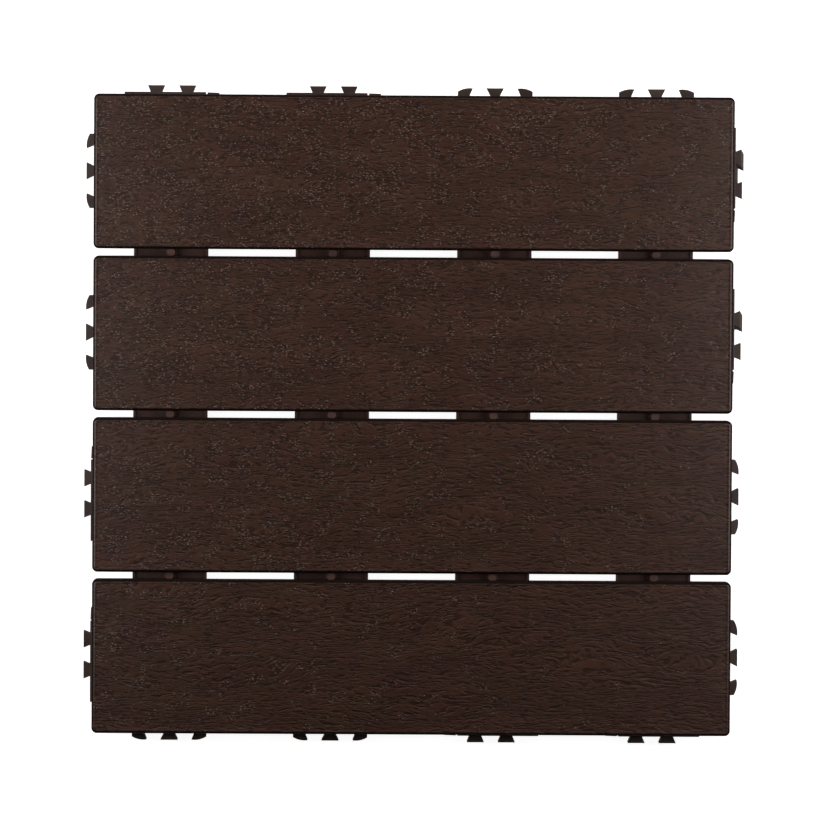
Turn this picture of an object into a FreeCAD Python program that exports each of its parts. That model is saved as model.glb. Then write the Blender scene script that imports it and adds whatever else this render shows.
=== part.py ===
"""Interlocking deck tile: four ribbed plastic slats snapped onto one open base grid.

Millimetres. X runs along the slats, Y across them and Z up. The origin is under the middle of the tile, in the
plane that its feet stand on. Sides and units are counted clockwise: side 0 is +Y, 1 is +X, 2 is -Y and 3 is -X.
"""
import FreeCAD, Part
import math
import os

V = FreeCAD.Vector
UP = V(0, 0, 1)

# Deck: tiles repeat at one pitch both ways, and each tile is a square field of slats.
tile_pitch = 300.0
tile_gap = 4.8
tile_height = 20.0
slat_count = 4
slat_gap = 3.3

# Slat: a shell open below, with rounded corners, a bevelled rim and ribs that stand on the walls of the bars.
slat_height = 8.0
slat_plate = 2.2
slat_skirt = 1.8
slat_corner_radius = 2.5
slat_rim_bevel = 0.7
stiffener_depth = 2.8

# Base: bars that cross under the middle of each slat. A crossing is a cell with its floor low down; a span between
# two crossings is a web high up, in a shallow recess, and is open below.
bar_width = 34.4
bar_wall = 1.2
bar_floor = 1.8
bar_draft = 1.0
span_recess = 1.5
drain_length = 20.0
drain_width = 4.0

# Feet: an eight-sided one under each crossing.
foot_height = 2.5
foot_width = 12.0

# Spacer posts: one in each gap over each bar, holding the slats apart.
post_length = 3.6
post_rise = 5.0
post_clearance = 0.15
post_chamfer = 0.7
plinth_size = 4.9
plinth_height = 1.2

# Snap hooks: two arms at each crossing, through windows in the floor of the base.
hook_spread = 16.0
hook_arm = 1.8
hook_width = 6.0
hook_barb = 0.9
hook_land = 0.5
hook_lead = 0.7
hook_ground_clearance = 0.6
hook_catch_clearance = 0.1
window_clearance = 0.25

# Connector units at the ends of the bars: tongues on the first half of each side, sockets on the rest.
unit_step_down = 0.5
ledge_width = 43.6
ledge_proud = 1.0
ledge_wall = 2.0
ledge_slit_place = 15.6
ledge_slit_width = 0.8
ledge_slit_depth = 1.2
tab_proud = 0.9
tab_end_proud = 0.7
tongue_spacing = 14.4
tongue_neck = 5.4
tongue_tip = 7.8
tongue_reach = 4.05
tongue_shank = 0.2
tongue_root = 0.4
lead_in = 0.5
socket_setback = 1.0
socket_wall = 1.8
socket_width = 6.5
tooth_neck = 4.4
tooth_reach = 3.6
tooth_shank = 0.2
outer_tooth_flare = 1.4
outer_tooth_reach = 3.5
outer_tooth_shoulder = 2.1
outer_tooth_bulge = 0.6

# Wear: the first tongue of the first two units of one side leans, its foot off to one side and out from under its
# top. The top takes a share of the lean, the opposite way. The foot of the first bar is pushed out as a lip.
worn_side = 1
worn_units = (0, 1)
worn_lean_across = 2.4
worn_lean_out = 1.8
worn_top_share = 0.3
worn_lip_unit = 0
worn_lip_proud = 2.6

slat_length = tile_pitch - tile_gap
slat_pitch = (slat_length + slat_gap) / slat_count
slat_width = slat_pitch - slat_gap
base_top = tile_height - slat_height
plate_underside = tile_height - slat_plate
channel_floor = foot_height + bar_floor
web_top = base_top - span_recess
web_underside = web_top - bar_floor
unit_top = base_top - unit_step_down
field_edge = slat_length / 2
bar_end = field_edge - socket_setback
crossings = [(i - (slat_count - 1) / 2) * slat_pitch for i in range(slat_count)]
span_middles = [(a + b) / 2 for a, b in zip(crossings, crossings[1:])]
cell_width = bar_width - 2 * bar_wall
span_length = slat_pitch - bar_width
past = 1.0


def block(x0, x1, y0, y1, z0, z1):
    """Box between two corners."""
    return Part.makeBox(x1 - x0, y1 - y0, z1 - z0, V(x0, y0, z0))


def frustum(low, high, z0, z1, x=0.0, y=0.0):
    """Four-sided block centred on x, y; low is its size in plan at z0 and high is its size at z1."""
    wedge = Part.makeWedge(
        -low[0] / 2, z0, -low[1] / 2, -high[1] / 2, -high[0] / 2,
        low[0] / 2, z1, low[1] / 2, high[1] / 2, high[0] / 2,
    )
    wedge.rotate(V(), V(1, 0, 0), 90)
    wedge.translate(V(x, y, 0))
    return wedge


def outline(path):
    """Closed wire through plan points; an entry that holds two points is an arc through the first to the second."""
    edges = []
    here = V(*path[0])
    for step in path[1:] + path[:1]:
        if isinstance(step[0], tuple):
            there = V(*step[1])
            edges.append(Part.Arc(here, V(*step[0]), there).toShape())
        else:
            there = V(*step)
            edges.append(Part.LineSegment(here, there).toShape())
        here = there
    return Part.Wire(edges)


def prism(path, z0, z1, foot_shift=(0.0, 0.0)):
    """Upright prism on a plan outline; foot_shift moves its foot sideways from under its top."""
    face = Part.Face(outline(path))
    face.translate(V(foot_shift[0], foot_shift[1], z0))
    return face.extrude(V(-foot_shift[0], -foot_shift[1], z1 - z0))


def mirrored_path(half):
    """Outline made of half a path and its mirror image in the Y axis."""
    return half + [(-x, y) for x, y in reversed(half)]


def fused(first, others):
    """One solid of several that touch, with the seams inside flat faces taken out."""
    return first.multiFuse(others).removeSplitter()


def quarter_turned(shape, along_x):
    """A shape drawn along Y, turned to lie along X where asked."""
    if along_x:
        return shape.rotated(V(), UP, 90)
    return shape


def slat_shell():
    """Outside of a slat: block with rounded plan corners and a bevelled rim, still solid."""
    shell = block(-slat_length / 2, slat_length / 2, -slat_width / 2, slat_width / 2, base_top, tile_height)
    corners = [edge for edge in shell.Edges if edge.BoundBox.ZLength > slat_height / 2]
    shell = shell.makeFillet(slat_corner_radius, corners)
    rim = [edge for edge in shell.Edges if edge.BoundBox.ZMin > plate_underside]
    return shell.makeChamfer(slat_rim_bevel, rim)


def pocket_ranges(places, half_length):
    """Stretches between ribs that stand over the walls of the bars at these places, out to the skirts."""
    edges = [-half_length + slat_skirt]
    for place in places:
        edges += [place - bar_width / 2, place - cell_width / 2, place + cell_width / 2, place + bar_width / 2]
    edges.append(half_length - slat_skirt)
    return list(zip(edges[::2], edges[1::2]))


def slat_pockets():
    """Hollows under the plate of a slat; what is left between them is its grid of ribs."""
    return [
        block(x0, x1, y0, y1, base_top - past, plate_underside)
        for x0, x1 in pocket_ranges(crossings, slat_length / 2)
        for y0, y1 in pocket_ranges([0.0], slat_width / 2)
    ]


def slat_stiffeners():
    """Shallow cross ribs under the plate, midway between the bars, from skirt to skirt."""
    reach = slat_width / 2 - slat_skirt
    return [
        block(
            x - bar_wall / 2, x + bar_wall / 2, -reach, reach, plate_underside - stiffener_depth, plate_underside
        )
        for x in span_middles
    ]


def snap_hook(x, side):
    """Arm from the plate of a slat through a window of the base, with a barb that catches under its floor."""
    inner = hook_spread / 2
    outer = inner + hook_arm
    catch = foot_height - hook_catch_clearance
    profile = [
        (inner, plate_underside),
        (inner, hook_ground_clearance),
        (outer - hook_lead, hook_ground_clearance),
        (outer + hook_barb, catch - hook_land),
        (outer + hook_barb, catch),
        (outer, catch),
        (outer, plate_underside),
    ]
    corners = [V(x + side * across, -hook_width / 2, height) for across, height in profile]
    face = Part.Face(Part.makePolygon(corners + corners[:1]))
    return face.extrude(V(0, hook_width, 0))


def slat(y):
    """One slat, moulded in one piece with its ribs and snap hooks."""
    hooks = [snap_hook(x, side) for x in crossings for side in (-1, 1)]
    body = slat_shell().cut(slat_pockets())
    body = fused(body, slat_stiffeners() + hooks)
    body.translate(V(0, y, 0))
    return body


def bar():
    """Solid form of one bar along Y, narrower at its foot by the draft."""
    foot_width = bar_width - 2 * (base_top - foot_height) * math.tan(math.radians(bar_draft))
    return frustum((foot_width, 2 * bar_end), (bar_width, 2 * bar_end), foot_height, base_top)


def channel_pocket(width, length, x, y, floor):
    """Hollow between cross walls down to a flat floor, with drafted sides."""
    inset = 2 * (base_top - floor) * math.tan(math.radians(bar_draft))
    return frustum((width - inset, length - inset), (width, length), floor, base_top, x, y)


def hollow_below(width, length, y):
    """Hollow between cross walls under a web, open below, with drafted sides."""
    mouth = foot_height - past
    inset = 2 * (web_underside - mouth) * math.tan(math.radians(bar_draft))
    return frustum((width, length), (width - inset, length - inset), mouth, web_underside, 0, y)


def span_pockets():
    """Hollows above and below the webs of one bar along Y, and the drain slots through them."""
    cuts = []
    for y in span_middles:
        cuts.append(channel_pocket(cell_width, span_length, 0, y, web_top))
        cuts.append(hollow_below(cell_width, span_length, y))
        for side in (-1, 1):
            drain_y = y + side * (span_length + plinth_size) / 4
            cuts.append(
                block(
                    -drain_length / 2, drain_length / 2, drain_y - drain_width / 2, drain_y + drain_width / 2,
                    web_underside - past, web_top,
                )
            )
    return cuts


def crossing_windows(x, y):
    """Windows in the floor of a crossing for the two snap hooks of the slat above."""
    low = hook_spread / 2 - hook_barb - window_clearance
    high = hook_spread / 2 + hook_arm + window_clearance
    half = hook_width / 2 + window_clearance
    spans = ((x - high, x - low), (x + low, x + high))
    return [block(x0, x1, y - half, y + half, foot_height - past, channel_floor) for x0, x1 in spans]


def crossing_foot(x, y):
    """Eight-sided foot under a crossing."""
    half = foot_width / 2
    corner = half * math.tan(math.pi / 8)
    left = [(-corner, -half), (-half, -corner), (-half, corner), (-corner, half)]
    return prism(mirrored_path(left), 0, foot_height).translated(V(x, y, 0))


def spacer_post(x, y):
    """Post on a square plinth, chamfered at its corners, with flats that clear the skirts of both slats."""
    half = slat_gap / 2 - post_clearance
    end = post_length / 2
    left = [(-end + post_chamfer, -half), (-end, -half + post_chamfer), (-end, half - post_chamfer),
            (-end + post_chamfer, half)]
    post = prism(mirrored_path(left), web_top, base_top + post_rise)
    reach = plinth_size / 2
    plinth = block(-reach, reach, -reach, reach, web_top, web_top + plinth_height)
    return post.fuse(plinth).translated(V(x, y, 0))


def tongue(place, foot_shift):
    """Dovetail tongue, chamfered below so that it drops into a socket; twisted where its foot shifts."""
    half = [
        (-tongue_neck / 2, -tongue_root),
        (-tongue_neck / 2, ledge_proud + tongue_shank),
        (-tongue_tip / 2, tongue_reach),
    ]
    body = prism(mirrored_path(half), foot_height, unit_top, foot_shift)
    shank_end = ledge_proud + tongue_shank + foot_shift[1]
    flared = [
        edge for edge in body.Edges
        if edge.BoundBox.ZMax < foot_height + lead_in and edge.CenterOfMass.y > shank_end
    ]
    body = body.makeChamfer(lead_in, flared)
    body.translate(V(place - worn_top_share * foot_shift[0], -worn_top_share * foot_shift[1], 0))
    return body


def ledge():
    """Front bar of a tongue unit, with a slit near one end and a tapered tab past it."""
    slit_end = ledge_slit_place + ledge_slit_width
    slit_root = ledge_proud - ledge_slit_depth
    path = [
        (-ledge_width / 2, ledge_proud - ledge_wall),
        (-ledge_width / 2, ledge_proud),
        (ledge_slit_place, ledge_proud),
        (ledge_slit_place, slit_root),
        (slit_end, slit_root),
        (slit_end, tab_proud),
        (ledge_width / 2, tab_end_proud),
        (ledge_width / 2, ledge_proud - ledge_wall),
    ]
    return prism(path, foot_height, base_top)


def worn_lip():
    """Foot of a front bar pushed out between its two tongues."""
    half = (tongue_spacing - tongue_neck) / 2
    corners = [
        V(-half, ledge_proud, base_top),
        V(-half, ledge_proud, foot_height),
        V(-half, worn_lip_proud, foot_height),
    ]
    face = Part.Face(Part.makePolygon(corners + corners[:1]))
    return face.extrude(V(2 * half, 0, 0))


def tongue_unit(side, number):
    """Front bar with two dovetail tongues, drawn on side 0 about the middle of the unit."""
    worn = side == worn_side and number in worn_units
    shift = (worn_lean_across, worn_lean_out) if worn else (0.0, 0.0)
    pieces = [tongue(-tongue_spacing / 2, shift), tongue(tongue_spacing / 2, (0.0, 0.0))]
    if side == worn_side and number == worn_lip_unit:
        pieces.append(worn_lip())
    return ledge().multiFuse(pieces)


def socket_unit():
    """Front wall with a dovetail tooth between two half teeth, which leave two sockets for tongues."""
    tooth_tip = tongue_spacing - socket_width
    inner_tip = tongue_spacing / 2 + socket_width / 2
    inner_neck = inner_tip + outer_tooth_flare
    outside = bar_width / 2
    rise = outer_tooth_reach - outer_tooth_shoulder
    chord = math.hypot(outside - inner_tip, rise)
    arc_middle = (
        -(outside + inner_tip) / 2 - outer_tooth_bulge * rise / chord,
        (outer_tooth_reach + outer_tooth_shoulder) / 2 + outer_tooth_bulge * (outside - inner_tip) / chord,
    )
    wall_back = -socket_setback - socket_wall
    left = [
        (-outside, wall_back),
        (-outside, outer_tooth_shoulder),
        (arc_middle, (-inner_tip, outer_tooth_reach)),
        (-inner_neck, tooth_shank),
        (-inner_neck, -socket_setback),
        (-tooth_neck / 2, -socket_setback),
        (-tooth_neck / 2, tooth_shank),
        (-tooth_tip / 2, tooth_reach),
    ]
    right = [
        (tooth_tip / 2, tooth_reach),
        (tooth_neck / 2, tooth_shank),
        (tooth_neck / 2, -socket_setback),
        (inner_neck, -socket_setback),
        (inner_neck, tooth_shank),
        (inner_tip, outer_tooth_reach),
        ((-arc_middle[0], arc_middle[1]), (outside, outer_tooth_shoulder)),
        (outside, wall_back),
    ]
    return prism(left + right, foot_height, unit_top)


def placed_unit(shape, side, number):
    """A unit drawn about the middle of side 0, moved to its bar and turned to its side."""
    moved = shape.translated(V(crossings[number], field_edge, 0))
    return moved.rotated(V(), UP, -90 * side)


def has_tongues(number):
    """The first half of the units of a side carry tongues."""
    return number < slat_count / 2


def end_pocket(side, number):
    """Hollow of a bar between its last crossing and the front wall of its unit."""
    inner = crossings[-1] + bar_width / 2 - field_edge
    front = ledge_proud - ledge_wall if has_tongues(number) else -socket_setback - socket_wall
    pocket = channel_pocket(cell_width, front - inner, 0, (inner + front) / 2, channel_floor)
    return placed_unit(pocket, side, number)


def base_grid():
    """Crossing channels with feet, posts and connector units, moulded in one piece."""
    units = []
    cuts = []
    for side in range(4):
        for number in range(slat_count):
            unit = tongue_unit(side, number) if has_tongues(number) else socket_unit()
            units.append(placed_unit(unit, side, number))
            cuts.append(end_pocket(side, number))
    bars = []
    furniture = []
    for along_x in (False, True):
        for place in crossings:
            aside = V(0, place, 0) if along_x else V(place, 0, 0)
            bars.append(quarter_turned(bar(), along_x).translated(aside))
            cuts += [quarter_turned(cut, along_x).translated(aside) for cut in span_pockets()]
    for x in crossings:
        for y in crossings:
            cuts.append(channel_pocket(cell_width, cell_width, x, y, channel_floor))
            cuts += crossing_windows(x, y)
            furniture.append(crossing_foot(x, y))
        furniture += [spacer_post(x, y) for y in span_middles]
    grid = bars[0].multiFuse(bars[1:] + units)
    return fused(grid.cut(cuts), furniture)


def main():
    """Write each piece to its own file; slats are counted from the +Y side."""
    os.makedirs("parts", exist_ok=True)
    base_grid().exportStep("parts/base_grid.step")
    for number, y in enumerate(reversed(crossings), start=1):
        slat(y).exportStep(f"parts/slat_{number}.step")


main()
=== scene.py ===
"""Looks of an interlocking deck tile: four grain-embossed slats on a moulded plastic grid.

Every length in the settings is in metres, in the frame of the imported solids: the tile lies
flat, X runs along the slats, Y across them and Z up.
"""

import math

import bmesh
import bpy
import numpy as np
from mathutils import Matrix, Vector
from bpy.props import (
    FloatProperty,
    FloatVectorProperty,
    IntProperty,
    PointerProperty,
)


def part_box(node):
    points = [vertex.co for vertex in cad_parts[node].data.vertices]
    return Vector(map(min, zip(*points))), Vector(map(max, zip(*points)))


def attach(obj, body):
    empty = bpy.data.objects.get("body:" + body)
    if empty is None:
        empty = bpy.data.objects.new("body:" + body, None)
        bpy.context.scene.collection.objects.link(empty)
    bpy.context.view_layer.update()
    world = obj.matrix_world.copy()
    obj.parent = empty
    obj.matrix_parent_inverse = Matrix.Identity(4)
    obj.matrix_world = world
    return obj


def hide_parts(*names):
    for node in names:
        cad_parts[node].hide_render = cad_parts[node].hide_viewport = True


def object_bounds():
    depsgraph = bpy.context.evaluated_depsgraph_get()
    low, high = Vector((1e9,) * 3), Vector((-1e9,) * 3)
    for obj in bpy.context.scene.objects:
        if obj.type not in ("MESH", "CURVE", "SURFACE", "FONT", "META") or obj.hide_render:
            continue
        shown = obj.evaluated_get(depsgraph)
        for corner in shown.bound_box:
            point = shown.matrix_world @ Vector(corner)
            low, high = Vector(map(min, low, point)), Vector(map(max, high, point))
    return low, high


bl_info = {
    "name": "Deck Tile",
    "version": (1, 0, 0),
    "blender": (4, 5, 0),
    "location": "3D View > Sidebar > Deck Tile",
    "description": "Embosses the slats of a deck tile, finishes its plastic and lights it",
    "category": "Add Mesh",
}

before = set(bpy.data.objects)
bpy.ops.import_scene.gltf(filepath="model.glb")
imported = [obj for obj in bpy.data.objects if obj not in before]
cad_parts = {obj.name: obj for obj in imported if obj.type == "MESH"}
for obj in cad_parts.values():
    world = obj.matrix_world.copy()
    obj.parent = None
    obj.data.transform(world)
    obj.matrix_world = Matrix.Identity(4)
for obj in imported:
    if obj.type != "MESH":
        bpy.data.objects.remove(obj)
CAD_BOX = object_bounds()

SLAT_NODES = sorted(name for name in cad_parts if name.startswith("slat_"))
BASE_NODE = "base_grid"
FIELD_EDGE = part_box(SLAT_NODES[0])[1].x
MM = 0.001

# Embossed grain: sizes of its noises, along and across the slat
SLOW_BEND = (75.0 * MM, 21.0 * MM)
QUICK_BEND = (24.0 * MM, 8.0 * MM)
QUICK_SHARE = 0.42
PATCH_SIZE = (11.0 * MM, 5.2 * MM)
FIBRE_SIZE = (7.5 * MM, 1.05 * MM)
FINE_FIBRE_SIZE = (3.4 * MM, 0.62 * MM)
FINE_SHARE = 0.6
LONG_PORE_SIZE = (6.8 * MM, 1.20 * MM)
SHORT_PORE_SIZE = (3.0 * MM, 1.10 * MM)
CLUSTER_SIZE = (8.5 * MM, 6.0 * MM)
SPECK_SIZE = (0.95 * MM, 0.80 * MM)
SWELL_SIZE = (19.0 * MM, 8.5 * MM)

# Embossed block: its margin outside the slat, and its mesh over the rim
BLOCK_MARGIN = 0.8 * MM
RIM_ZONE = 1.2 * MM
RIM_CELLS = 14
FADE_START = -0.2 * MM
FADE_END = 0.7 * MM
WELD = 1e-6
SHARP_ANGLE = math.radians(32)

# Shaded patterns: their repeats per metre along, across and up
CLOUDS = (30.0, 75.0, 10.0)
TINT = (60.0, 90.0, 80.0)
CLUSTERS = (120.0, 150.0, 90.0)
GRAIN_LINES = (75.0, 430.0, 10.0)
BREAKS = (260.0, 620.0, 10.0)
STROKES = (330.0, 1150.0, 10.0)
PEBBLES = (780.0, 1300.0, 1000.0)
SKIN = (2600.0, 2900.0, 2700.0)
FLOW_MARKS = (60.0, 60.0, 30.0)
GRID_SKIN = (1400.0, 1400.0, 1400.0)

# Shading of the rim: where its colour darkens as painted shade and its sheen ends, as sines of
# its tilt, and the share of its colour that is left in that painted shade
RIM_DARKENS = (0.30, 0.80)
RIM_DULLS = (0.36, 0.54)
RIM_PAINTED_SHADE = 0.12

# Depths of the finest relief on the slats and on the grid
SKIN_DEPTH = 0.02 * MM
GRID_SKIN_DEPTH = 0.03 * MM

# Stage
SENSOR_WIDTH = 36.0
NEAREST, FARTHEST = 0.01, 60.0
FLOOR_SIDES = 64
WHITE = (1.0, 1.0, 1.0, 1.0)


# Settings

class DeckTileGrain(bpy.types.PropertyGroup):
    """Sizes of the embossed wood grain on a slat's top."""

    rim_width: FloatProperty(
        name="Rim width", description="Radius of the round rim of a slat's top",
        default=1.60 * MM, unit="LENGTH")
    # The long sides' rims get their painted shade, and lose their sheen, sooner than the ends'
    long_rim_painted_shade: FloatProperty(
        name="Long rims",
        description="How much sooner the long sides' rims darken than the ends'",
        default=1.7, min=1)
    corner_radius: FloatProperty(
        name="Corner radius", description="Radius of a slat's corners seen from above",
        default=2.5 * MM, unit="LENGTH")
    clearance: FloatProperty(
        name="Skin depth", description="How far the highest grain lies below the solid's top",
        default=0.02 * MM, unit="LENGTH")
    pore_depth: FloatProperty(
        name="Pore depth", description="Depth of the grooves that run along the grain",
        default=0.13 * MM, unit="LENGTH")
    fibre_depth: FloatProperty(
        name="Fibre depth", description="Depth of the soft streaks between the pores",
        default=0.07 * MM, unit="LENGTH")
    speck_height: FloatProperty(
        name="Speck height", description="Height of the small raised specks",
        default=0.08 * MM, unit="LENGTH")
    wave_height: FloatProperty(
        name="Swell", description="Slow unevenness of the moulded face",
        default=0.05 * MM, unit="LENGTH")
    leather: FloatVectorProperty(
        name="Leather share",
        description="Share of pebbled leather in the grain of each slat, from the back",
        size=4, default=(0.85, 0.70, 0.55, 0.35), min=0, max=1)
    leather_fade: FloatProperty(
        name="Leather fade",
        description="How much that share rises to the left end and falls to the right",
        default=0.30, min=0, max=1)
    drift: FloatProperty(
        name="Drift", description="How far a grain line wanders across the slat",
        default=4.5 * MM, unit="LENGTH")
    cells_along: IntProperty(
        name="Cells along", description="Mesh cells along a slat, its rims apart",
        default=392, min=20)
    cells_across: IntProperty(
        name="Cells across", description="Mesh cells across a slat, its rims apart",
        default=176, min=10)
    seed: IntProperty(name="Seed", description="Start of the grain pattern", default=11)


class DeckTileFinish(bpy.types.PropertyGroup):
    """Colours, with their painted light and shade, sheen and fine relief of the two plastics."""

    slat_colour: FloatVectorProperty(
        name="Slat colour", description="Brown of the grained slats",
        subtype="COLOR", size=3, default=(0.0395, 0.0150, 0.0088), min=0, max=1)
    # Painted shade: the darkness of the grooves and pits, painted into the slats' colour
    slat_painted_groove_shade: FloatVectorProperty(
        name="Slat groove colour",
        description="Deeper brown of the grain lines and of the pits between pebbles",
        subtype="COLOR", size=3, default=(0.013, 0.0048, 0.0032), min=0, max=1)
    # Painted highlight: the glint on the pebbles' tops, painted into their colour
    slat_painted_pebble_highlight: FloatVectorProperty(
        name="Slat pebble colour", description="Lighter brown of the fine pebbles",
        subtype="COLOR", size=3, default=(0.180, 0.113, 0.088), min=0, max=1)
    # Painted shade and sheen: a darker, greyer copy of the slats' brown for faces that don't look
    # up
    slat_side_painted_shade: FloatVectorProperty(
        name="Slat side colour", description="Matt brown of the slats' flanks and undersides",
        subtype="COLOR", size=3, default=(0.0270, 0.0150, 0.0112), min=0, max=1)
    # Painted light: the grid's brown between the slats, lightened for its deep recesses
    grid_painted_light_colour: FloatVectorProperty(
        name="Grid colour", description="Brown of the moulded grid between the slats",
        subtype="COLOR", size=3, default=(0.090, 0.042, 0.031), min=0, max=1)
    # Painted shade: the darker, greyer brown of the connectors near the lamps, the low walls and
    # the underside
    unit_painted_shade_colour: FloatVectorProperty(
        name="Connector colour",
        description="Duller brown of the connectors, low walls and underside",
        subtype="COLOR", size=3, default=(0.041, 0.0245, 0.020), min=0, max=1)
    painted_shade_below: FloatProperty(
        name="Duller below", description="Height under which the grid has the connectors' colour",
        default=9.5 * MM, unit="LENGTH")
    slat_roughness: FloatProperty(
        name="Slat roughness", description="Mean roughness of the slats",
        default=0.42, min=0, max=1, subtype="FACTOR")
    slat_gloss: FloatProperty(
        name="Slat gloss", description="Specular level of the slats under their sheen",
        default=0.11, min=0, max=1, subtype="FACTOR")
    sheen_weight: FloatProperty(
        name="Sheen", description="Weight of the smooth skin that gives the slats their sheen",
        default=0.68, min=0, max=1, subtype="FACTOR")
    sheen_roughness: FloatProperty(
        name="Sheen roughness", description="Roughness of that skin",
        default=0.28, min=0, max=1, subtype="FACTOR")
    base_roughness: FloatProperty(
        name="Grid roughness", description="Mean roughness of the grid",
        default=0.40, min=0, max=1, subtype="FACTOR")
    base_gloss: FloatProperty(
        name="Grid gloss", description="Specular level of the grid",
        default=0.33, min=0, max=1, subtype="FACTOR")
    stroke_depth: FloatProperty(
        name="Stroke depth", description="Depth of the grooves and short strokes along the grain",
        default=0.38 * MM, unit="LENGTH")
    pebble_height: FloatProperty(
        name="Pebble height", description="Height of the fine pebbles",
        default=0.36 * MM, unit="LENGTH")
    edge_radius: FloatProperty(
        name="Edge radius", description="Radius that shading gives to moulded edges",
        default=0.22 * MM, unit="LENGTH")


class DeckTileStage(bpy.types.PropertyGroup):
    """Camera, floor and lamps."""

    camera_place: FloatVectorProperty(
        name="Camera place", description="Where the camera stands above the tile",
        subtype="TRANSLATION", size=3, default=(-0.03955, 0.12225, 2.98820))
    camera_turn: FloatVectorProperty(
        name="Camera turn", description="Turn of the camera",
        subtype="EULER", size=3,
        default=tuple(math.radians(a) for a in (-2.347, -0.759, 0.362)))
    focal_length: FloatProperty(
        name="Focal length", description="Focal length of the camera, in millimetres",
        default=280.1, subtype="DISTANCE_CAMERA")
    floor_radius: FloatProperty(
        name="Floor radius", description="Radius of the pale floor",
        default=12.0, unit="LENGTH")
    floor_colour: FloatVectorProperty(
        name="Floor colour", description="Colour of the pale floor",
        subtype="COLOR", size=3, default=(0.62, 0.61, 0.60), min=0, max=1)
    floor_white: FloatProperty(
        name="Floor white",
        description="White that the camera sees on the floor, besides its lit colour",
        default=0.93, min=0, max=1, subtype="FACTOR")
    floor_gap: FloatProperty(
        name="Floor gap", description="How far the floor lies below the tile's lowest faces",
        default=0.05 * MM, unit="LENGTH")
    side_place: FloatVectorProperty(
        name="Side lamp place",
        description="Where the right side lamp stands; the left one mirrors it",
        subtype="TRANSLATION", size=3, default=(0.36, 0.035, 0.28))
    side_aim: FloatVectorProperty(
        name="Side lamp aim", description="What the right side lamp points at",
        subtype="TRANSLATION", size=3, default=(0.05, 0.0, 0.0))
    side_size: FloatVectorProperty(
        name="Side lamp size", description="Width and height of each side lamp",
        subtype="TRANSLATION", size=2, default=(0.32, 0.43))
    head_place: FloatVectorProperty(
        name="Head lamp place", description="Where the lamp at the far end stands",
        subtype="TRANSLATION", size=3, default=(0.0, 0.585, 0.326))
    head_size: FloatVectorProperty(
        name="Head lamp size", description="Width and height of the lamp at the far end",
        subtype="TRANSLATION", size=2, default=(0.95, 0.15))
    side_power: FloatProperty(
        name="Side lamps", description="Power of each of the two side lamps, in watts",
        default=1.11, min=0)
    head_power: FloatProperty(
        name="Head lamp", description="Power of the lamp at the far end, in watts",
        default=4.18, min=0)
    room_light: FloatProperty(
        name="Room light", description="Strength of the even light all round",
        default=0.02, min=0)


# Surfaces

def smooth(edge_a, edge_b, value):
    """0 below edge_a and 1 above edge_b, with the cubic 3t^2 - 2t^3 between them."""
    t = np.clip((value - edge_a) / (edge_b - edge_a), 0.0, 1.0)
    return t * t * (3.0 - 2.0 * t)


def gradient_noise(u, v, seed):
    """Gradient noise on a unit lattice, about -1 to 1.

    Each lattice corner has a random unit arrow. A point's value is 1.5 times the mix, by the
    quintic 6t^5 - 15t^4 + 10t^3, of the four corners' arrows times the way from the corner. The
    lattice repeats after 256 cells.
    """
    side = 256
    angle = np.random.default_rng(seed).uniform(0.0, 2.0 * np.pi, (side, side))
    arrow_u, arrow_v = np.cos(angle), np.sin(angle)
    cell_u, cell_v = np.floor(u).astype(int), np.floor(v).astype(int)
    du, dv = u - cell_u, v - cell_v
    fade_u = du ** 3 * (du * (du * 6.0 - 15.0) + 10.0)
    fade_v = dv ** 3 * (dv * (dv * 6.0 - 15.0) + 10.0)

    def corner(step_u, step_v):
        at = (cell_u + step_u) % side, (cell_v + step_v) % side
        return arrow_u[at] * (du - step_u) + arrow_v[at] * (dv - step_v)

    low = corner(0, 0) * (1.0 - fade_u) + corner(1, 0) * fade_u
    high = corner(0, 1) * (1.0 - fade_u) + corner(1, 1) * fade_u
    return 1.5 * (low * (1.0 - fade_v) + high * fade_v)


def sized_noise(x, y, size, seed):
    """Gradient noise whose cells are size[0] by size[1]."""
    return gradient_noise(x / size[0], y / size[1], seed)


def rim_depth(x, y, half_x, half_y, radius):
    """Distance inside a rounded rectangle's outline, negative outside it.

    With q = |p| - (half - radius), it is radius - |max(q, 0)| - min(max(qx, qy), 0).
    """
    qx = np.abs(x) - (half_x - radius)
    qy = np.abs(y) - (half_y - radius)
    beyond = np.hypot(np.maximum(qx, 0.0), np.maximum(qy, 0.0))
    return radius - beyond - np.minimum(np.maximum(qx, qy), 0.0)


def grain_line(x, y, grain, seed):
    """The grain's own cross coordinate: y plus two slow noises of x and y.

    Lines of equal value are the grain lines, so what is drawn against it flows with them.
    """
    slow = sized_noise(x, y, SLOW_BEND, seed)
    quick = sized_noise(x, y, QUICK_BEND, seed + 1)
    return y + grain.drift * (slow + QUICK_SHARE * quick)


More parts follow.
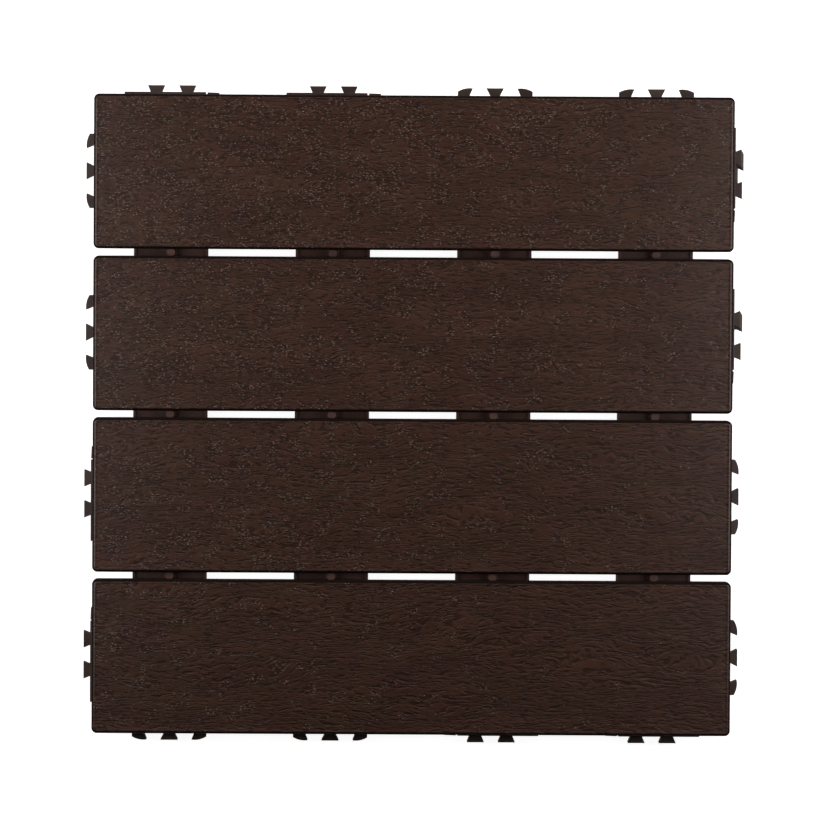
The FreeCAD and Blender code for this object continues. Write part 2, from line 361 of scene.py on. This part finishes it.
def grain_height(x, y, line, grain, seed, leather):
    """Height of the embossed grain, in metres, 0 at the face and negative in the grooves.

    It is -pore * P - fibre * F + speck * S - swell * W, where F is noise stretched along the
    grain, P the same noise, shorter, where it passes a threshold, S fine round noise where it
    passes one, in patches, and W slow noise. leather, 0 to 1, trades long pores for specks.
    """
    patch = smooth(-0.30, 0.40, sized_noise(x, line, PATCH_SIZE, seed + 2))
    fibre = sized_noise(x, line, FIBRE_SIZE, seed + 3)
    fibre += FINE_SHARE * sized_noise(x, line, FINE_FIBRE_SIZE, seed + 4)
    long_pore = smooth(0.22, 0.52, sized_noise(x, line, LONG_PORE_SIZE, seed + 5))
    short_pore = smooth(0.25, 0.50, sized_noise(x, line, SHORT_PORE_SIZE, seed + 6))
    cluster = smooth(-0.05, 0.45, sized_noise(x, y, CLUSTER_SIZE, seed + 7))
    speck = smooth(0.34, 0.66, sized_noise(x, y, SPECK_SIZE, seed + 8))
    swell = sized_noise(x, line, SWELL_SIZE, seed + 9)
    pores = (1.0 - 0.55 * leather) * long_pore + (0.35 + 0.55 * leather) * short_pore * cluster
    height = -grain.pore_depth * pores * (0.30 + 0.70 * patch)
    height -= grain.fibre_depth * (0.5 + 0.5 * fibre) * (0.35 + 0.65 * patch)
    height += grain.speck_height * (speck * cluster * (0.45 + 0.55 * leather) - 1.0)
    height -= grain.wave_height * (0.5 + 0.5 * swell)
    return np.minimum(height, 0.0)


def spaced(half, margin, rim, rim_cells, cells):
    """Grid places from -half - margin to half + margin, rim_cells fine ones over each rim."""
    edge = np.linspace(half + margin, half - rim, rim_cells + 1)
    middle = np.linspace(-(half - rim), half - rim, cells + 1)
    return np.concatenate([-edge[:-1], middle, edge[-2::-1]])


def grain_block(name, centre, half_x, half_y, top, floor, grain, seed, leather):
    """A closed block that carries one slat's top, wider than the slat on every side.

    Its top is z = top - skin + depth * height(x, y) - rim, where rim is the quarter circle
    r - sqrt(r^2 - s^2) of s = r - distance inside the outline, going on straight at its steepest
    past the outline, and depth fades from 1 to 0 over the rim. Straight walls go down to floor,
    closed there by a fan.
    """
    rim = grain.rim_width + RIM_ZONE
    xs = spaced(half_x, BLOCK_MARGIN, rim, RIM_CELLS, grain.cells_along)
    ys = spaced(half_y, BLOCK_MARGIN, rim, RIM_CELLS, grain.cells_across)
    x, y = np.meshgrid(xs, ys, indexing="ij")
    inside = rim_depth(x, y, half_x, half_y, grain.corner_radius)
    line = grain_line(x, y, grain, seed)
    fade = smooth(grain.rim_width + FADE_START, grain.rim_width + FADE_END, inside)
    reach = np.clip(grain.rim_width - inside, 0.0, None)
    drop = grain.rim_width - np.sqrt(np.clip(grain.rim_width ** 2 - reach ** 2, 0.0, None))
    z = top - grain.clearance + fade * grain_height(x, y, line, grain, seed, leather) - drop

    rows, columns = len(xs), len(ys)
    index = np.arange(rows * columns).reshape(rows, columns)
    ring = np.concatenate([
        index[:, 0], index[-1, 1:], index[-2::-1, -1], index[0, -2:0:-1]])
    upper = np.stack([x, y, z], -1).reshape(-1, 3)
    lower = upper[ring].copy()
    lower[:, 2] = floor
    pole = np.array([[0.0, 0.0, floor]])
    points = np.concatenate([upper, lower, pole])
    points[:, :2] += centre

    quads = np.stack([
        index[:-1, :-1], index[1:, :-1], index[1:, 1:], index[:-1, 1:]], -1).reshape(-1, 4)
    below = rows * columns + np.arange(len(ring))
    walls = np.stack([ring, below, np.roll(below, -1), np.roll(ring, -1)], -1)
    fan = np.stack([np.full(len(ring), len(points) - 1), np.roll(below, -1), below], -1)
    faces = np.concatenate([quads, walls]).tolist() + fan.tolist()
    mesh = bpy.data.meshes.new(name)
    mesh.from_pydata(points, [], faces)
    return mesh


def shown_object(name, mesh):
    """A new object for the mesh, at the origin, in the scene."""
    shown = bpy.data.objects.new(name, mesh)
    bpy.context.scene.collection.objects.link(shown)
    return shown


def welded_copy(node):
    """The node's solid as a closed mesh: its loose triangles with equal corners merged."""
    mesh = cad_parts[node].data.copy()
    cleaner = bmesh.new()
    cleaner.from_mesh(mesh)
    bmesh.ops.remove_doubles(cleaner, verts=cleaner.verts, dist=WELD)
    cleaner.to_mesh(mesh)
    cleaner.free()
    mesh.materials.clear()
    return mesh


def common_part(block, solid, name):
    """The mesh of what block and solid share, by a Boolean modifier that is applied."""
    carrier, cutter = shown_object(name, block), shown_object(name + "_solid", solid)
    cut = carrier.modifiers.new("Share", "BOOLEAN")
    cut.operation = "INTERSECT"
    cut.solver = "MANIFOLD"
    cut.object = cutter
    seen = carrier.evaluated_get(bpy.context.evaluated_depsgraph_get())
    mesh = bpy.data.meshes.new_from_object(seen)
    bpy.data.objects.remove(carrier)
    bpy.data.objects.remove(cutter)
    if len(mesh.polygons) < len(block.polygons) // 2:
        raise RuntimeError(f"{name}: the embossed face was lost")
    mesh.name = name
    return mesh


def mesh_points(mesh):
    """The mesh's vertices as an array of rows x, y, z."""
    flat = np.empty(len(mesh.vertices) * 3)
    mesh.vertices.foreach_get("co", flat)
    return flat.reshape(-1, 3)


def keep_grain(mesh, centre, half_x, half_y, grain, seed, leather):
    """Stores on each vertex what the slat's material follows.

    grain_flow is (x, grain line, 0.1 seed), leather the slat's share of it less fade * x / half,
    and rim the sine of the round rim's tilt, s / r, times long_rim_painted_shade on the long sides, from 0 on
    the face to 1 at the rim's foot and on what lies lower.
    """
    points = mesh_points(mesh)
    x, y = points[:, 0] - centre[0], points[:, 1] - centre[1]
    flow = np.stack([x, grain_line(x, y, grain, seed), np.full(len(x), 0.1 * seed)], -1)
    held = mesh.attributes.new("grain_flow", "FLOAT_VECTOR", "POINT")
    held.data.foreach_set("vector", flow.astype(np.float32).ravel())
    inside = rim_depth(x, y, half_x, half_y, grain.corner_radius)
    # On the long sides the tilt is stretched, so that the painted shade on their rims starts
    # sooner
    along = half_y - np.abs(y) < half_x - np.abs(x)
    tilt = (1.0 - inside / grain.rim_width) * np.where(along, grain.long_rim_painted_shade, 1.0)
    tilt = np.clip(tilt, 0.0, 1.0)
    face_low = points[:, 2].max() - 2.0 * grain.rim_width
    tilt = np.where(points[:, 2] < face_low, 1.0, tilt)
    share = np.clip(leather - grain.leather_fade * x / half_x, 0.0, 1.0)
    for key, values in (("rim", tilt), ("leather", share)):
        held = mesh.attributes.new(key, "FLOAT", "POINT")
        held.data.foreach_set("value", values.astype(np.float32))


# Materials

class Nodes:
    """A material's nodes, made and joined in short calls."""

    def __init__(self, name):
        self.material = bpy.data.materials.new(name)
        self.material.use_nodes = True
        self.tree = self.material.node_tree
        self.shader = self.tree.nodes["Principled BSDF"]

    def link(self, source, target):
        """Joins an output to an input."""
        self.tree.links.new(source, target)

    def node(self, kind, inputs=(), **settings):
        """A new node with its settings, and its inputs linked or set."""
        made = self.tree.nodes.new(kind)
        for key, value in settings.items():
            setattr(made, key, value)
        for key, value in dict(inputs).items():
            if isinstance(value, bpy.types.NodeSocket):
                self.link(value, made.inputs[key])
            else:
                made.inputs[key].default_value = value
        return made

    def maths(self, operation, first, second=0.0):
        """One arithmetic step on two values."""
        return self.node("ShaderNodeMath", {0: first, 1: second}, operation=operation).outputs[0]

    def scaled(self, vector, scale):
        """The vector times scale, axis by axis."""
        return self.node(
            "ShaderNodeVectorMath", {0: vector, 1: scale}, operation="MULTIPLY").outputs[0]

    def noise(self, vector, detail, roughness=0.5):
        """Smooth noise, about 0.5, at the vector."""
        return self.node(
            "ShaderNodeTexNoise",
            {"Vector": vector, "Scale": 1.0, "Detail": detail, "Roughness": roughness},
        ).outputs["Fac"]

    def raised(self, height, metres, normal):
        """The normal bent by a height of 0 to 1 that stands for so many metres."""
        return self.node(
            "ShaderNodeBump",
            {"Strength": 1.0, "Distance": metres, "Height": height, "Normal": normal},
        ).outputs["Normal"]

    def between(self, value, low, high, to_low=0.0, to_high=1.0):
        """The value mapped from low and high to to_low and to_high, smoothly and clamped."""
        return self.node(
            "ShaderNodeMapRange",
            {"Value": value, "From Min": low, "From Max": high,
             "To Min": to_low, "To Max": to_high},
            interpolation_type="SMOOTHSTEP").outputs["Result"]

    def mixed(self, factor, first, second):
        """The first colour where factor is 0 and the second where it is 1."""
        made = self.node("ShaderNodeMix", {"Factor": factor}, data_type="RGBA")
        for key, value in ((6, first), (7, second)):
            if isinstance(value, bpy.types.NodeSocket):
                self.link(value, made.inputs[key])
            else:
                made.inputs[key].default_value = (*value, 1.0)
        return made.outputs[2]

    def upward(self):
        """How far the surface faces up: 1 on a level face, 0 on a wall and -1 below."""
        face = self.node("ShaderNodeNewGeometry").outputs["True Normal"]
        return self.node("ShaderNodeSeparateXYZ", {0: face}).outputs["Z"]

    def rounded(self, radius):
        """The normal, bent round at sharp edges by a radius."""
        return self.node("ShaderNodeBevel", {"Radius": radius}, samples=4).outputs["Normal"]


def shade(colour, share):
    """The colour times share."""
    return tuple(share * part for part in colour)


def grain_marks(made, flow, leather, clusters, embossed):
    """Lines, painted dark as shade in the grooves, and soft grooves along the grain, 0 to 1 each.

    Both follow where stretched noise passes its middle, the lines closely and the grooves
    widely, and only where a second noise lets them. Short strokes are added to both, more of
    them in the clusters.
    """
    field = made.noise(made.scaled(flow, GRAIN_LINES), 2.0, 0.55)
    off_line = made.maths("ABSOLUTE", made.maths("SUBTRACT", field, 0.5))
    broken = made.noise(made.scaled(flow, BREAKS), 1.0)
    broken = made.maths("SUBTRACT", broken, made.maths("MULTIPLY", leather, 0.08))
    broken = made.maths("MULTIPLY", made.between(broken, 0.40, 0.50), embossed)
    grooves = made.maths("MULTIPLY", made.between(off_line, 0.12, 0.0), broken)
    lines = made.maths("MULTIPLY", made.between(off_line, 0.060, 0.015), broken)
    strokes = made.between(made.noise(made.scaled(flow, STROKES), 1.0), 0.54, 0.61)
    strokes = made.maths("MULTIPLY", strokes, made.maths("MAXIMUM", clusters, 0.35))
    strokes = made.maths("MULTIPLY", strokes, embossed)
    return made.maths("MAXIMUM", lines, strokes), made.maths("MAXIMUM", grooves, strokes)


def pebble_marks(made, place, clusters):
    """Fine pebbles and the pits between them, 0 to 1 each, in the clusters.

    A pebble is the dome round a point of a random net, and each has a height of its own.
    """
    net = made.node(
        "ShaderNodeTexVoronoi",
        {"Vector": made.scaled(place, PEBBLES), "Scale": 1.0, "Randomness": 1.0}, feature="F1")
    away = net.outputs["Distance"]
    pebbles = made.maths("MULTIPLY", made.between(away, 0.46, 0.18), clusters)
    own_height = made.between(net.outputs["Color"], 0.36, 0.60, 0.1, 1.0)
    pebbles = made.maths("MULTIPLY", pebbles, own_height)
    pits = made.maths("MULTIPLY", made.between(away, 0.50, 0.75, 0.0, 0.8), clusters)
    return pebbles, pits


def grained_plastic(name, finish):
    """Brown satin plastic with embossed wood grain and patches of fine leather pebbles.

    Grain lines and the pits between pebbles are painted darker than the brown, as painted shade
    in the grooves and hollows, and pebbles paler, as a painted highlight on their tops. Past the
    face, the rim's colour darkens as painted shade and it loses its sheen, and the flanks below
    it are a matt, darker and greyer brown chosen by facing, as painted shade and sheen.
    """
    made = Nodes(name)
    flow = made.node("ShaderNodeAttribute", attribute_name="grain_flow").outputs["Vector"]
    leather = made.node("ShaderNodeAttribute", attribute_name="leather").outputs["Fac"]
    rim = made.node("ShaderNodeAttribute", attribute_name="rim").outputs["Fac"]
    place = made.node("ShaderNodeTexCoord").outputs["Object"]
    upward = made.upward()
    embossed = made.between(upward, 0.20, 0.60)

    clouds = made.noise(made.scaled(flow, CLOUDS), 2.0)
    tint = made.noise(made.scaled(place, TINT), 2.0)
    skin = made.noise(made.scaled(place, SKIN), 1.0)
    clusters = made.noise(made.scaled(place, CLUSTERS), 3.0, 0.6)
    clusters = made.maths("ADD", clusters, made.maths("MULTIPLY", leather, 0.20))
    clusters = made.between(clusters, 0.62, 0.72)
    clusters = made.maths("MULTIPLY", clusters, embossed)
    lines, grooves = grain_marks(made, flow, leather, clusters, embossed)
    pebbles, pits = pebble_marks(made, place, clusters)

    ground = made.mixed(
        made.between(clouds, 0.35, 0.65), shade(finish.slat_colour, 0.90),
        shade(finish.slat_colour, 1.10))
    # Painted shade: grain lines and the pits between pebbles are darkened in the colour
    ground = made.mixed(
        made.maths("MULTIPLY", made.maths("MAXIMUM", lines, pits), 0.7), ground, finish.slat_painted_groove_shade)
    # Painted highlight: the pebbles' tops are paler than the brown
    brown = made.mixed(made.maths("MULTIPLY", pebbles, 0.85), ground, finish.slat_painted_pebble_highlight)
    brown = made.node(
        "ShaderNodeHueSaturation",
        {"Color": brown, "Hue": made.between(tint, 0.30, 0.70, 0.496, 0.507),
         "Saturation": 1.0, "Value": 1.0},
    ).outputs["Color"]
    # Painted shade and sheen: faces that don't look up get the darker, greyer side colour
    brown = made.mixed(embossed, tuple(finish.slat_side_painted_shade), brown)
    # Painted shade: the rim's colour darkens towards its foot, on faces that look up
    painted_rim_shade = made.maths(
        "MULTIPLY", made.between(rim, *RIM_DARKENS), made.between(upward, 0.02, 0.20))
    brown = made.mixed(painted_rim_shade, brown, shade(finish.slat_colour, RIM_PAINTED_SHADE))
    made.link(brown, made.shader.inputs["Base Color"])
    rough = made.between(
        clouds, 0.30, 0.70, finish.slat_roughness - 0.04, finish.slat_roughness + 0.05)
    rough = made.maths("MAXIMUM", rough, made.between(rim, *RIM_DULLS))
    made.link(rough, made.shader.inputs["Roughness"])
    made.shader.inputs["Specular IOR Level"].default_value = finish.slat_gloss
    made.link(
        made.between(rim, *RIM_DULLS, finish.sheen_weight, 0.0),
        made.shader.inputs["Coat Weight"])

    rounded = made.rounded(finish.edge_radius)
    normal = made.raised(skin, SKIN_DEPTH, rounded)
    normal = made.raised(pebbles, finish.pebble_height, normal)
    normal = made.raised(made.maths("SUBTRACT", 1.0, grooves), finish.stroke_depth, normal)
    made.link(normal, made.shader.inputs["Normal"])
    made.link(rounded, made.shader.inputs["Coat Normal"])
    made.shader.inputs["Coat Roughness"].default_value = finish.sheen_roughness
    return made.material


def moulded_plastic(name, finish, field_edge):
    """Brown moulded plastic, plainer than the slats: a faint pebbled skin and soft flow marks.

    field_edge is how far the slats reach from the middle. Past it, and low down, the brown is
    darker and greyer, as painted shade; within it and higher up, it is lighter, as painted light
    in the deep recesses between the slats.
    """
    made = Nodes(name)
    place = made.node("ShaderNodeTexCoord").outputs["Object"]
    flow_marks = made.noise(made.scaled(place, FLOW_MARKS), 3.0, 0.6)
    pebbles = made.noise(made.scaled(place, GRID_SKIN), 2.0, 0.6)
    tone = made.between(flow_marks, 0.30, 0.70, 0.8, 1.2)
    across = made.node("ShaderNodeSeparateXYZ", {0: place})
    reach = made.maths(
        "MAXIMUM", made.maths("ABSOLUTE", across.outputs["X"]),
        made.maths("ABSOLUTE", across.outputs["Y"]))
    # Painted shade on the low parts and on the connectors past the field's edge; painted light on
    # the grid between the slats above them
    low = made.between(across.outputs["Z"], finish.painted_shade_below + MM, finish.painted_shade_below)
    painted_shade_share = made.maths("MAXIMUM", low, made.between(reach, field_edge - MM, field_edge + MM))
    brown = made.mixed(painted_shade_share, tuple(finish.grid_painted_light_colour), tuple(finish.unit_painted_shade_colour))
    tone = made.node("ShaderNodeCombineXYZ", {0: tone, 1: tone, 2: tone}).outputs[0]
    made.link(made.scaled(brown, tone), made.shader.inputs["Base Color"])
    rough = made.between(
        flow_marks, 0.25, 0.75, finish.base_roughness - 0.06, finish.base_roughness + 0.08)
    rough = made.maths("MAXIMUM", rough, made.between(made.upward(), 0.95, 0.55))
    made.link(rough, made.shader.inputs["Roughness"])
    made.shader.inputs["Specular IOR Level"].default_value = finish.base_gloss
    normal = made.raised(pebbles, GRID_SKIN_DEPTH, made.rounded(finish.edge_radius))
    made.link(normal, made.shader.inputs["Normal"])
    return made.material


def pale_floor(name, stage):
    """Pale matt floor that the camera, mirrors and clear things see as white."""
    made = Nodes(name)
    made.tree.nodes.remove(made.shader)
    matt = made.node("ShaderNodeBsdfDiffuse", {"Color": (*stage.floor_colour, 1.0)})
    path = made.node("ShaderNodeLightPath")
    seen = made.maths("ADD", path.outputs["Is Camera Ray"], path.outputs["Is Glossy Ray"])
    seen = made.maths("ADD", seen, path.outputs["Is Transmission Ray"])
    white = made.node(
        "ShaderNodeEmission",
        {"Color": WHITE, "Strength": made.maths("MULTIPLY", seen, stage.floor_white)})
    both = made.node("ShaderNodeAddShader")
    made.link(matt.outputs[0], both.inputs[0])
    made.link(white.outputs[0], both.inputs[1])
    made.link(both.outputs[0], made.tree.nodes["Material Output"].inputs["Surface"])
    return made.material


# Operators

class DECKTILE_OT_slats(bpy.types.Operator):
    """Gives each slat its embossed top and its material"""

    bl_idname = "decktile.slats"
    bl_label = "Emboss the Slats"

    def execute(self, context):
        grain, finish = context.scene.deck_tile_grain, context.scene.deck_tile_finish
        plastic = grained_plastic("grained_brown_plastic", finish)
        for number, node in enumerate(SLAT_NODES):
            low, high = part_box(node)
            centre = np.array([(low.x + high.x) / 2, (low.y + high.y) / 2])
            half_x, half_y = (high.x - low.x) / 2, (high.y - low.y) / 2
            seed = grain.seed + 100 * number
            leather = grain.leather[number % len(grain.leather)]
            block = grain_block(
                node + "_block", centre, half_x, half_y, high.z, low.z - MM,
                grain, seed, leather)
            mesh = common_part(block, welded_copy(node), node + "_grained")
            keep_grain(mesh, centre, half_x, half_y, grain, seed, leather)
            mesh.materials.clear()
            mesh.materials.append(plastic)
            mesh.shade_smooth()
            mesh.set_sharp_from_angle(angle=SHARP_ANGLE)
            slat = shown_object(node + "_grained", mesh)
            slat.modifiers.new("Even shading", "WEIGHTED_NORMAL").keep_sharp = True
            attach(slat, "root")
            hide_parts(node)
        return {"FINISHED"}


class DECKTILE_OT_base(bpy.types.Operator):
    """Gives the moulded grid its material"""

    bl_idname = "decktile.base"
    bl_label = "Finish the Grid"

    def execute(self, context):
        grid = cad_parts[BASE_NODE]
        plastic = moulded_plastic(
            "moulded_brown_plastic", context.scene.deck_tile_finish, FIELD_EDGE)
        for place in grid.material_slots:
            place.material = plastic
        if not grid.material_slots:
            raise RuntimeError("the grid has no material slot")
        return {"FINISHED"}


class DECKTILE_OT_stage(bpy.types.Operator):
    """Sets the camera, the pale floor and the lamps"""

    bl_idname = "decktile.stage"
    bl_label = "Set the Stage"

    def execute(self, context):
        stage = context.scene.deck_tile_stage
        scene = context.scene
        scene.view_settings.view_transform = "Standard"
        lens = bpy.data.cameras.new("camera")
        lens.lens = stage.focal_length
        lens.sensor_width = SENSOR_WIDTH
        lens.clip_start, lens.clip_end = NEAREST, FARTHEST
        camera = shown_object("camera", lens)
        camera.location = stage.camera_place
        camera.rotation_euler = stage.camera_turn
        scene.camera = camera

        turn = np.linspace(0.0, 2.0 * np.pi, FLOOR_SIDES, endpoint=False)
        rim = np.stack([np.cos(turn), np.sin(turn), 0.0 * turn], -1) * stage.floor_radius
        rim[:, 2] = CAD_BOX[0].z - stage.floor_gap
        mesh = bpy.data.meshes.new("floor")
        mesh.from_pydata(rim, [], [list(range(len(rim)))])
        mesh.materials.append(pale_floor("pale_floor", stage))
        shown_object("floor", mesh)

        def lamp(name, place, aim, size, power):
            """A soft rectangular lamp at place that points at aim."""
            light = bpy.data.lights.new(name, "AREA")
            light.shape = "RECTANGLE"
            light.size, light.size_y = size
            light.energy = power
            shown = shown_object(name, light)
            shown.location = place
            shown.rotation_euler = (aim - place).to_track_quat("-Z", "Y").to_euler()

        place, aim = Vector(stage.side_place), Vector(stage.side_aim)
        mirrored = Vector((-1.0, 1.0, 1.0))
        lamp("lamp_left", place * mirrored, aim * mirrored, stage.side_size, stage.side_power)
        lamp("lamp_right", place, aim, stage.side_size, stage.side_power)
        lamp("lamp_head", Vector(stage.head_place), Vector(), stage.head_size, stage.head_power)

        world = bpy.data.worlds.new("room")
        world.use_nodes = True
        around = world.node_tree.nodes["Background"]
        around.inputs["Color"].default_value = WHITE
        around.inputs["Strength"].default_value = stage.room_light
        scene.world = world
        return {"FINISHED"}


class DECKTILE_PT_panel(bpy.types.Panel):
    """The deck tile's steps and settings, in the 3D view's sidebar"""

    bl_idname = "DECKTILE_PT_panel"
    bl_label = "Deck Tile"
    bl_space_type = "VIEW_3D"
    bl_region_type = "UI"
    bl_category = "Deck Tile"

    def draw(self, context):
        for group, step in (
                ("deck_tile_grain", DECKTILE_OT_slats),
                ("deck_tile_finish", DECKTILE_OT_base),
                ("deck_tile_stage", DECKTILE_OT_stage)):
            box = self.layout.box()
            held = getattr(context.scene, group)
            for key in held.__annotations__:
                box.prop(held, key)
            box.operator(step.bl_idname)


SETTINGS = {
    "deck_tile_grain": DeckTileGrain,
    "deck_tile_finish": DeckTileFinish,
    "deck_tile_stage": DeckTileStage,
}
CLASSES = (
    *SETTINGS.values(), DECKTILE_OT_slats, DECKTILE_OT_base, DECKTILE_OT_stage,
    DECKTILE_PT_panel)


def register():
    """Adds the classes, and the settings to the scene."""
    for kind in CLASSES:
        bpy.utils.register_class(kind)
    for name, kind in SETTINGS.items():
        setattr(bpy.types.Scene, name, PointerProperty(type=kind))


def unregister():
    """Takes them away again."""
    for name in SETTINGS:
        delattr(bpy.types.Scene, name)
    for kind in reversed(CLASSES):
        bpy.utils.unregister_class(kind)


def main():
    """Runs each step."""
    register()
    bpy.ops.decktile.stage()
    bpy.ops.decktile.slats()
    bpy.ops.decktile.base()


if __name__ == "__main__":
    main()
